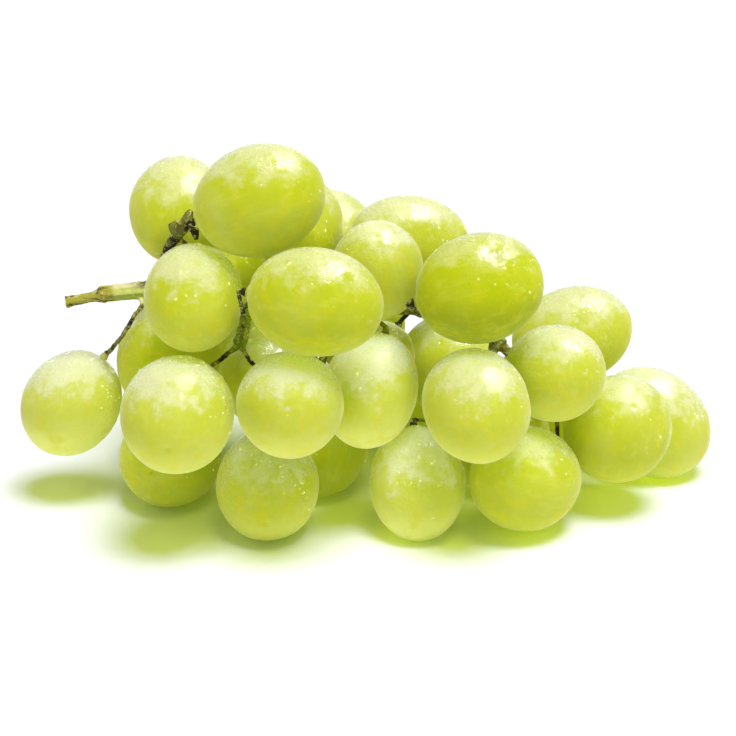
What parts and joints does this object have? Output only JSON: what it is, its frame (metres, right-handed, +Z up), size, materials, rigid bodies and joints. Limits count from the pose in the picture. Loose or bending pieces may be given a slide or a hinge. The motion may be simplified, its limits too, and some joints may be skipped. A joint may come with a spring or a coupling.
{
  "type": "bunch of grapes",
  "caption": "A bunch of pale green table grapes lying on its side, the oval grapes pressed close together round a branched green stem whose cut end points left.",
  "frame": {"origin": "on the surface that the bunch lies on, under the middle of its box", "axes": "+X along the bunch, away from the cut end of the stem; +Z up; -Y towards the side that the picture shows"},
  "size_m": [0.1572, 0.0944, 0.0886],
  "materials": {
    "grape_skin": "translucent yellow-green grape skin with a thin pale bloom, fine veins, small brown specks and beads of water",
    "stem_bark": "green stem, matte and finely ribbed, browner at the joints, the cut end and the stalk ends"
  },
  "bodies": {
    "root": {"grape_back_foot_end": "grape_skin", "grape_back_foot_left": "grape_skin", "grape_back_foot_mid": "grape_skin", "grape_back_foot_right": "grape_skin", "grape_back_high": "grape_skin", "grape_back_high_left": "grape_skin", "grape_back_left": "grape_skin", "grape_back_mid": "grape_skin", "grape_back_right": "grape_skin", "grape_behind_top": "grape_skin", "grape_by_stalk": "grape_skin", "grape_foot_left": "grape_skin", "grape_foot_mid": "grape_skin", "grape_front_left": "grape_skin", "grape_front_mid": "grape_skin", "grape_front_right": "grape_skin", "grape_inner_back": "grape_skin", "grape_inner_left": "grape_skin", "grape_inner_low": "grape_skin", "grape_inner_mid": "grape_skin", "grape_inner_right": "grape_skin", "grape_left_end": "grape_skin", "grape_low_left": "grape_skin", "grape_low_mid": "grape_skin", "grape_low_right": "grape_skin", "grape_middle": "grape_skin", "grape_right": "grape_skin", "grape_right_back": "grape_skin", "grape_right_end": "grape_skin", "grape_right_low": "grape_skin", "grape_top": "grape_skin", "grape_top_left": "grape_skin", "grape_under_stalk": "grape_skin", "grape_upper_back": "grape_skin", "grape_upper_front": "grape_skin", "grape_upper_mid": "grape_skin", "grape_upper_right": "grape_skin", "stem": "stem_bark"}
  },
  "joints": []
}
